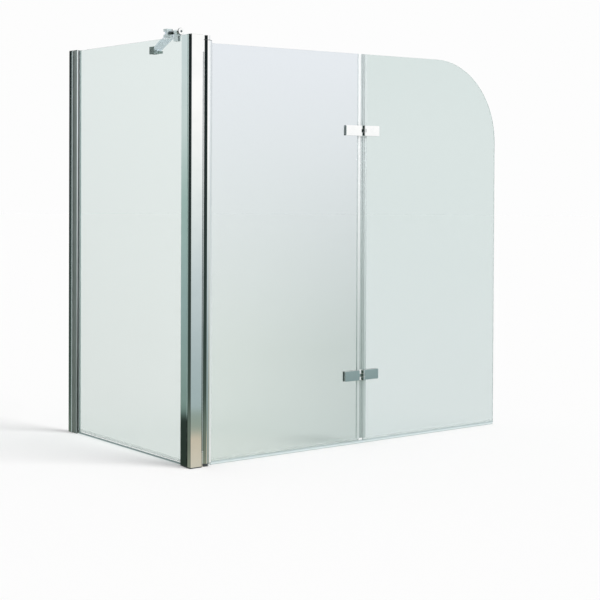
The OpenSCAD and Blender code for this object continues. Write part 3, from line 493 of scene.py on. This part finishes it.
def socketed(node, smallest, across, depth):
    """The node's screws with a hexagon socket sunk in each head, which is any round end face with a
    radius above the smallest. All in mm."""
    bm = own_shape(node)
    for face in [f for f in bm.faces if len(f.verts) > 16]:
        middle, out = face.calc_center_median(), face.normal.copy()
        rim = [loop.vert for loop in face.loops]
        if (rim[0].co - middle).length < smallest * MM:
            continue
        side = (rim[0].co - middle).normalized()
        other = out.cross(side)
        mouth, floor = [], []
        for vert in rim:
            arm = vert.co - middle
            turn = math.atan2(arm.dot(other), arm.dot(side)) % math.radians(60.0) - math.radians(30.0)
            edge = middle + arm.normalized() * (across * MM / 2 / math.cos(turn))
            mouth.append(bm.verts.new(edge))
            floor.append(bm.verts.new(edge - out * depth * MM))
        bm.faces.remove(face)
        for k, vert in enumerate(rim):
            n = (k + 1) % len(rim)
            bm.faces.new((vert, rim[n], mouth[n], mouth[k]))
            bm.faces.new((mouth[k], mouth[n], floor[n], floor[k])).material_index = 1
        bm.faces.new(floor).material_index = 1
    bmesh.ops.recalc_face_normals(bm, faces=bm.faces)
    finished(bm, node + "_socketed", node, [finish_for(node), DARK_CHROME])


# ------------------------------------------------------------------ small parts and screws

def make_small_parts():
    """Castings, plates and caps with edges rounded by a width in mm, and sockets in the screw heads."""
    softened("top_bracket", 0.8)
    softened("wall_channel_cap", 0.5)
    for kind in ("plate", "inner_plate"):
        for level in ("upper", "lower"):
            for leaf in (1, 2):
                softened(f"{level}_hinge_{kind}_{leaf}", 0.5)
    softened("clamp_bolt", 0.8)
    softened("side_screw_caps", 0.7)
    softened("top_bush", 0.2)
    softened("bottom_bush", 0.2)
    for node in ("hinge_screws_1", "hinge_screws_2"):
        socketed(node, smallest=4.0, across=4.2, depth=1.6)
    socketed("bracket_screws", smallest=3.6, across=3.6, depth=1.2)


# ------------------------------------------------------------------ post and pivot

def tighten_outer_corner(bm):
    """Draws the section's left front corner in to a third of its radius, so that the flat side runs
    further forward."""
    radius = 3.0 * MM
    drawn_in = 2.0 / 3.0
    slack = 0.01 * MM
    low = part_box("corner_post")[0]
    centre = Vector((low[0] + radius, low[1] + radius, 0.0))
    shift = Vector((-radius, -radius, 0.0)) * drawn_in
    for vert in bm.verts:
        arm = Vector((vert.co.x, vert.co.y, 0.0)) - centre
        if arm.x < slack and arm.y < slack and abs(arm.length - radius) < 10 * slack:
            vert.co += shift - arm * drawn_in


def make_post():
    """The corner post with its rounded front corners and the front part of its inner side in a painted
    reflection, its cap and foot, the channel behind it with its lip in a painted reflection with
    painted glow, and the bracket with its grey underside."""
    inner_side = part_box("corner_post")[1][0] - 0.5 * MM
    reflection_painted_to = -6.0 * MM

    def divide(bm):
        tighten_outer_corner(bm)
        cut(bm, "y", reflection_painted_to)

    # painted reflection on the rounded front corners and the front of the inner side
    def post_finish(place, normal):
        on_corner = normal.y < -0.12 and 0.12 < abs(normal.x) < 0.995
        on_side = normal.x > 0.99 and place.x > inner_side and place.y < reflection_painted_to
        if not (on_corner or on_side):
            return 0
        return 2 if normal.x > 0.0 else 1

    softened("corner_post", 0.0, post_finish, [POST_CORNER_PAINTED_REFLECTION, POST_INNER_PAINTED_REFLECTION], PROFILE_TURN, divide)
    softened("post_cap", 0.5, reshape=tighten_outer_corner)
    softened("post_foot", 0.4, reshape=tighten_outer_corner)

    # the channel's front lip: painted reflection and painted glow
    lip_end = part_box("corner_post")[1].y + 0.5 * MM
    softened("post_channel", 0.0, lambda place, normal: normal.y < -0.9 and place.y < lip_end,
             [CHANNEL_LIP_PAINTED_LIGHT], PROFILE_TURN)

    grey_top = 7.2 * MM
    grey_start = 0.03
    softened("bottom_bracket", 0.6,
             lambda place, normal: (place.z < grey_top and place.x > grey_start
                                    and normal.x < 0.25 and normal.y < 0.0),
             [GREY_PLASTIC])


def make_pivot_profile():
    """The round profile, with a strip of painted shade, darker towards the bottom, where its front turns
    into the glass pocket.
    """
    strip_start = 0.047
    strip_end = 0.0556
    front = 0.001
    softened("pivot_profile", 0.0,
             lambda place, normal: (strip_start < place.x < strip_end and place.y < front
                                    and normal.x > 0.3 and -0.96 < normal.y < -0.8),
             [PIVOT_LIP_PAINTED_SHADE], reshape=lambda bm: cut(bm, "x", strip_end))


# ------------------------------------------------------------------ support arm

BAR_HEAD_Z = 1.4070
BAR_FOOT_Z = 1.4245
BAR_INSET = 0.0107
BAR_HALF_THICKNESS = 5.5  # mm


def bar_outline(length):
    """Points along and across the arm bar in mm, from its head to its foot, as seen from above."""
    full = 15.8
    steps = [(0.0, 9.0, 4.5), (16.0, full, 6.0), (length * 0.5, full, 3.0), (length - 12.0, full, 0.6),
             (length, 10.5, 0.5)]
    return ([(along, shift + half) for along, half, shift in steps]
            + [(along, shift - half) for along, half, shift in reversed(steps)])


def make_arm_bar():
    """A flat bar that rises to the wall, within the box of the CAD bar."""
    low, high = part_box("arm_bar")
    start = Vector((low.x + BAR_INSET, low.y, BAR_HEAD_Z))
    end = Vector((high.x - BAR_INSET, high.y, BAR_FOOT_Z))
    along = (end - start).normalized()
    across = Vector((along.y, -along.x, 0.0)).normalized()
    up = across.cross(along).normalized()
    bm = bmesh.new()
    corners = [bm.verts.new(start + along * a * MM + across * c * MM - up * BAR_HALF_THICKNESS * MM)
               for a, c in bar_outline((end - start).length / MM)]
    pull(bm, [bm.faces.new(corners)], up * (2 * BAR_HALF_THICKNESS) * MM)
    bmesh.ops.recalc_face_normals(bm, faces=bm.faces)
    round_edges(bm, 0.9)
    finished(bm, "arm_bar_flat", "arm_bar")


def make_clamp_knurl():
    """A dark knurled rim round the head of the clamp's bolt."""
    ridges = 28
    radius = 11.5 * MM
    groove = 0.955
    behind_face = 1.2 * MM
    length = 5.0 * MM
    low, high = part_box("clamp_bolt")
    middle = (low + high) / 2
    bm = bmesh.new()
    rim = bmesh.ops.create_circle(bm, cap_ends=True, segments=2 * ridges, radius=radius)["verts"]
    bmesh.ops.scale(bm, vec=(groove, groove, 1.0), verts=rim[::2])
    bmesh.ops.rotate(bm, verts=bm.verts, cent=(0, 0, 0),
                     matrix=Matrix.Rotation(math.radians(90.0), 3, "X"))
    bmesh.ops.translate(bm, verts=bm.verts, vec=(middle.x, low.y + behind_face, middle.z))
    pull(bm, bm.faces[:], (0.0, length, 0.0))
    bmesh.ops.recalc_face_normals(bm, faces=bm.faces)
    finished(bm, "clamp_bolt_knurl", "clamp_bolt", [DARK_CHROME], sharp=20.0, stands_for=False)


def make_arm():
    """The support arm: a fork with a dark stub and a dark line of painted shadow along its front edge, a
    wall foot and its fork in blocks of different tone, which is painted light and shade, a pale-lipped
    clamp, the flat bar, and the bolt's knurled rim."""
    shadow_line_from = 0.4 * MM
    stub_end = 0.1438

    # the dark line on the fork's front is a painted shadow line where the fork meets the stub
    def fork_finish(place, normal):
        shadow_line = normal.y < -0.9 and place.x > shadow_line_from and place.y < stub_end + 1.0 * MM
        return place.y < stub_end or shadow_line

    bm = own_shape("head_fork")
    cut(bm, "x", shadow_line_from)
    paint(bm, fork_finish)
    finished(bm, "head_fork_and_stub", "head_fork", [finish_for("head_fork"), DARK_CHROME])

    # The foot's front face paler and the fork's front faces darker than the rest of each: painted light
    # and shade.
    foot_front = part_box("wall_foot")[0][1]
    softened("wall_foot", 1.0,
             lambda place, normal: normal.y < -0.9 and place.y < foot_front + 1.0 * MM, [ARM_SATIN_AND_HIGHLIGHT])
    softened("foot_fork", 0.6, lambda place, normal: normal.y < -0.5, [FOOT_SATIN_SHADED])
    softened("glass_clamp", 0.6,
             lambda place, normal: abs(normal.x) > 0.5 and -11 * MM < place.x < -4 * MM, [PALE_RUBBER])
    make_arm_bar()
    make_clamp_knurl()


# ------------------------------------------------------------------ glass and seals

FACES_DOWN = -0.3  # a normal's z, at or below which a pane's edge faces its bottom seal


def make_panes():
    """Toughened panes with ground edges, which look darker than the faces, and the tape along the
    side pane's wall edge."""
    tape_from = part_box("wall_gaskets")[0][1] - 5.5 * MM

    def side_finish(place, normal):
        if abs(normal.x) > 0.94:
            return 2 if place.y > tape_from else 0
        return 1 if normal.z > FACES_DOWN else 0

    bm = own_shape("side_glass")
    round_edges(bm, 1.3)
    cut(bm, "y", tape_from)
    paint(bm, side_finish)
    finished(bm, "side_glass_rounded", "side_glass", [finish_for("side_glass"), SIDE_EDGE, GLASS_TAPE])
    for node in ("leaf_1_glass", "leaf_2_glass"):
        softened(node, 0.8, lambda place, normal: abs(normal.y) < 0.9 and normal.z > FACES_DOWN,
                 [LEAF_EDGE])


def make_fold_seals():
    """Clear seals at the fold: a white leg on the first leaf, a greyer leg on the second, and clear
    bulbs between them."""
    fold_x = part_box("leaf_1_fold_seal")[1][0]
    bulb_half = 0.0112
    for node, leg in (("leaf_1_fold_seal", SEAL_LEG), ("leaf_2_fold_seal", SEAL_FAR_LEG)):
        bm = own_shape(node)
        paint(bm, lambda place, normal: abs(place.x - fold_x) < bulb_half)
        finished(bm, node + "_clear", node, [leg, SEAL_BULB])


def make_bottom_seal(node, *layers):
    """A bottom seal in layers, each (lowest height in mm, finish), from the bottom up."""
    bm = own_shape(node)
    for level, _ in layers[1:]:
        cut(bm, "z", level * MM)
    paint(bm, lambda place, normal: max(k for k, (level, _) in enumerate(layers)
                                        if place.z / MM > level))
    finished(bm, node + "_clear", node, [finish for _, finish in layers])


def make_seals():
    """All clear seals. A bottom seal's grip is all but unseen above its web, sweep and darker bottom band,
    which is painted contact shadow.
    """
    below_all = -1.0
    make_fold_seals()
    make_bottom_seal("side_bottom_seal", (below_all, SEAL_CONTACT_SHADOW), (4.8, SEAL_GRIP))
    for node in ("leaf_1_bottom_seal", "leaf_2_bottom_seal"):
        make_bottom_seal(node, (below_all, SEAL_CONTACT_SHADOW), (1.2, SEAL_SWEEP), (6.2, SEAL_WEB),
                         (10.4, SEAL_GRIP))


# ------------------------------------------------------------------ wall profile

def make_channel_ribs():
    """Two fine ribs down the shallow groove on each side of the wall channel."""
    radius = 1.4 * MM
    flattened = 0.36
    sunk = 0.55 * MM
    first_rib, next_rib = 14.9, 2.9  # mm from the channel's back, and from rib to rib
    end_gap = 1.0 * MM
    low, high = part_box("wall_channel")
    bm = bmesh.new()
    for side, inward in ((low.x, 1.0), (high.x, -1.0)):
        for rib in range(2):
            rim = bmesh.ops.create_circle(bm, cap_ends=True, segments=16, radius=radius)["verts"]
            bmesh.ops.scale(bm, vec=(flattened, 1.0, 1.0), verts=rim)
            foot = (side + inward * sunk, high.y - (first_rib + next_rib * rib) * MM, low.z + end_gap)
            bmesh.ops.translate(bm, verts=rim, vec=foot)
            pull(bm, [rim[0].link_faces[0]], (0.0, 0.0, high.z - low.z - 2 * end_gap))
    bmesh.ops.recalc_face_normals(bm, faces=bm.faces)
    finished(bm, "wall_channel_ribs", "wall_channel", [BRIGHT], stands_for=False)


def make_wall_profile():
    """The wall channel with its ribs and a pale front strip, a painted highlight; the glazing profile
    with its lips, in painted highlight, painted reflection and painted shade; and the gaskets, of which
    the inner one is painted paler, with painted glow on its glass side, painted light that stands for
    light through the glass."""
    make_channel_ribs()
    low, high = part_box("wall_channel")
    middle = (low.x + high.x) / 2

    # a pale strip down the front of each outer side, in the arm's satin: a painted highlight
    front_end = low.y + 7.0 * MM
    bm = own_shape("wall_channel")
    cut(bm, "y", front_end)
    paint(bm, lambda place, normal: abs(normal.x) > 0.9 and place.y < front_end)
    finished(bm, "wall_channel_painted_highlight", "wall_channel", [finish_for("wall_channel"), ARM_SATIN_AND_HIGHLIGHT])

    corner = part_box("glazing_profile")[0]
    outer_face = corner[0] + 0.4 * MM
    strip_end = corner[1] + 2.6 * MM
    lip_end = corner[1] + 2.0 * MM

    # a pale strip at the front of the outer side is a painted highlight; the near lip takes a painted
    # reflection, dark low and white high; the far lip a darker satin, painted shade
    def glazing_finish(place, normal):
        if normal.x < -0.9 and place.y < strip_end and place.x < outer_face:
            return 2
        if normal.y < -0.6 and place.y < lip_end:
            return 1 if place.x < middle else 3
        return 0

    bm = own_shape("glazing_profile")
    cut(bm, "y", strip_end)
    paint(bm, glazing_finish)
    finished(bm, "glazing_profile_painted_lips", "glazing_profile",
             [finish_for("glazing_profile"), PROFILE_LIP_PAINTED_REFLECTION, ARM_SATIN_AND_HIGHLIGHT, FORK_SATIN_SHADED])

    # the inner gasket is painted paler grey than the outer one, with painted glow on its glass side:
    # painted light
    def gasket_finish(place, normal):
        if place.x < middle:
            return 0
        return 2 if normal.x < -0.5 else 1

    softened("wall_gaskets", 0.0, gasket_finish, [GREY_RUBBER, GLOW_PAINTED_RUBBER])


# ------------------------------------------------------------------ the whole screen

def finish_the_rest():
    """A CAD solid that no piece stands for is shown as it is, in its finish."""
    stood_for = {name for piece in scene.objects for name in piece.get("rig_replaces", [])}
    for name, shown in frame["nodes"].items():
        if name not in stood_for:
            shown.data.materials.clear()
            shown.data.materials.append(finish_for(name))


make_small_parts()
make_post()
make_pivot_profile()
make_arm()
make_panes()
make_seals()
make_wall_profile()
finish_the_rest()


# ------------------------------------------------------------------ studio

def make_floor():
    """A wide pale disc just under the screen, which polished metal doesn't mirror."""
    bm = bmesh.new()
    bmesh.ops.create_circle(bm, cap_ends=True, segments=96, radius=30.0)
    mesh = bpy.data.meshes.new("floor")
    bm.to_mesh(mesh)
    bm.free()
    floor = bpy.data.objects.new("floor", mesh)
    scene.collection.objects.link(floor)
    floor.location = (0.6, 0.4, -0.0006)
    material, tree, shader, _ = start_finish("pale_floor")
    fill(tree, shader, Base_Color=(0.967, 0.957, 0.947, 1.0), Roughness=0.9, Specular_IOR_Level=0.0)
    mesh.materials.append(material)
    floor.visible_glossy = False


# What polished metal sees in each direction: colours by height, as the z of the mirrored ray.
RAMP_LOW, RAMP_HIGH = -0.30, 0.10
FRONT = [(RAMP_LOW, (214, 212, 200)), (-0.208, (203, 200, 184)), (-0.184, (197, 188, 168)),
         (-0.176, (142, 156, 144)), (-0.167, (140, 156, 147)), (-0.162, (159, 177, 177)),
         (-0.134, (167, 183, 184)), (-0.0715, (196, 208, 209)), (-0.009, (230, 236, 234)),
         (0.05, (254, 254, 252)), (RAMP_HIGH, (255, 255, 254))]
FRONT_RIGHT = [(RAMP_LOW, (150, 160, 150)), (-0.145, (132, 152, 152)), (-0.12, (146, 166, 166)),
               (-0.0715, (190, 203, 204)), (-0.009, (232, 238, 236)), (0.02, (255, 255, 254)),
               (RAMP_HIGH, (255, 255, 254))]
RIGHT = [(RAMP_LOW, (236, 238, 235)), (-0.19, (232, 235, 232)), (-0.158, (220, 229, 225)),
         (-0.018, (204, 214, 215)), (0.1, (216, 220, 225)), (RAMP_HIGH, (218, 222, 226))]
REAR = [(RAMP_LOW, (40, 50, 42)), (-0.17, (44, 55, 49)), (-0.163, (112, 136, 128)),
        (-0.158, (121, 145, 137)), (-0.0885, (141, 166, 163)), (-0.018, (154, 180, 174)),
        (0.036, (196, 211, 208)), (0.1, (202, 215, 215)), (RAMP_HIGH, (204, 217, 217))]
LEFT = [(RAMP_LOW, (140, 144, 128)), (-0.2, (124, 131, 115)), (-0.19, (108, 117, 103)),
        (-0.172, (96, 110, 100)), (-0.155, (66, 80, 73)), (-0.125, (52, 66, 60)),
        (-0.018, (40, 50, 49)), (0.09, (27, 36, 35)), (RAMP_HIGH, (26, 32, 32))]
TO_THE_LEFT = (-0.9205, -0.3907, 0.0)


def mirrored_studio(tree):
    """The colour that polished metal sees in each direction: dark on the left, pale behind, white in
    front and overhead, falling off to a warm floor."""
    way = put(tree, "ShaderNodeTexCoord").outputs["Generated"]
    axes = axes_of(tree, way)
    height = span(tree, axes["Z"], RAMP_LOW, RAMP_HIGH)

    def by_height(stops):
        return ramp(tree, height, [((z - RAMP_LOW) / (RAMP_HIGH - RAMP_LOW), srgb(*colour))
                                   for z, colour in stops])

    seen = mixed(tree, span(tree, axes["Y"], 0.45, 0.70), by_height(FRONT), by_height(REAR))
    seen = mixed(tree, span(tree, axes["X"], 0.575, 0.61), seen, by_height(FRONT_RIGHT))
    seen = mixed(tree, span(tree, axes["X"], 0.925, 0.965), seen, by_height(RIGHT))
    leftward = vector_maths(tree, "DOT_PRODUCT", way, TO_THE_LEFT)
    seen = mixed(tree, span(tree, leftward, -0.035, 0.06), seen, by_height(LEFT))
    return mixed(tree, span(tree, axes["Z"], 0.13, 0.30), seen, srgb(253, 253, 252))


def make_world():
    """White for the camera and through glass, a plain studio for polished metal, and even soft light
    on the rest."""
    world = bpy.data.worlds.new("studio")
    scene.world = world
    world.use_nodes = True
    tree = world.node_tree
    tree.nodes.clear()

    def backdrop(colour, strength=1.0):
        return put(tree, "ShaderNodeBackground", Color=colour, Strength=strength).outputs[0]

    path = put(tree, "ShaderNodeLightPath").outputs
    light = mixed_shaders(tree, path["Is Glossy Ray"], backdrop((0.97, 0.985, 1.0, 1.0), 0.66),
                          backdrop(mirrored_studio(tree)))
    looked_at = maths(tree, "MAXIMUM", path["Is Camera Ray"], path["Is Transmission Ray"])
    put(tree, "ShaderNodeOutputWorld",
        Surface=mixed_shaders(tree, looked_at, light, backdrop(srgb(253, 253, 253))))


def make_lamp():
    """A broad soft lamp from high up in front, a little to the right, which polished metal doesn't
    mirror."""
    lamp = bpy.data.lights.new("soft_key", "SUN")
    lamp.energy = 1.5
    lamp.angle = math.radians(25.0)
    key = bpy.data.objects.new("soft_key", lamp)
    scene.collection.objects.link(key)
    key.rotation_euler = (math.radians(38.0), 0.0, math.radians(28.0))
    key.visible_glossy = False


def make_camera():
    """At the photograph's place and angle, found from the screen's own corners and edges."""
    place = (-2.4865, -3.816, 0.9436)
    turn, pitch, roll = math.radians(37.35), math.radians(-0.81), math.radians(0.253)
    camera = bpy.data.cameras.new("camera")
    camera.sensor_fit = "HORIZONTAL"
    camera.sensor_width = 36.0
    camera.lens = 84.516
    camera.shift_y = -0.17317
    camera.clip_end = 200.0
    eye = bpy.data.objects.new("camera", camera)
    scene.collection.objects.link(eye)
    forward = Vector((math.sin(turn) * math.cos(pitch), math.cos(turn) * math.cos(pitch), math.sin(pitch)))
    eye.matrix_world = (Matrix.Translation(place)
                        @ forward.to_track_quat("-Z", "Y").to_matrix().to_4x4()
                        @ Matrix.Rotation(roll, 4, "Z"))
    scene.camera = eye


make_floor()
make_world()
make_lamp()
make_camera()
scene.view_settings.view_transform = "Standard"
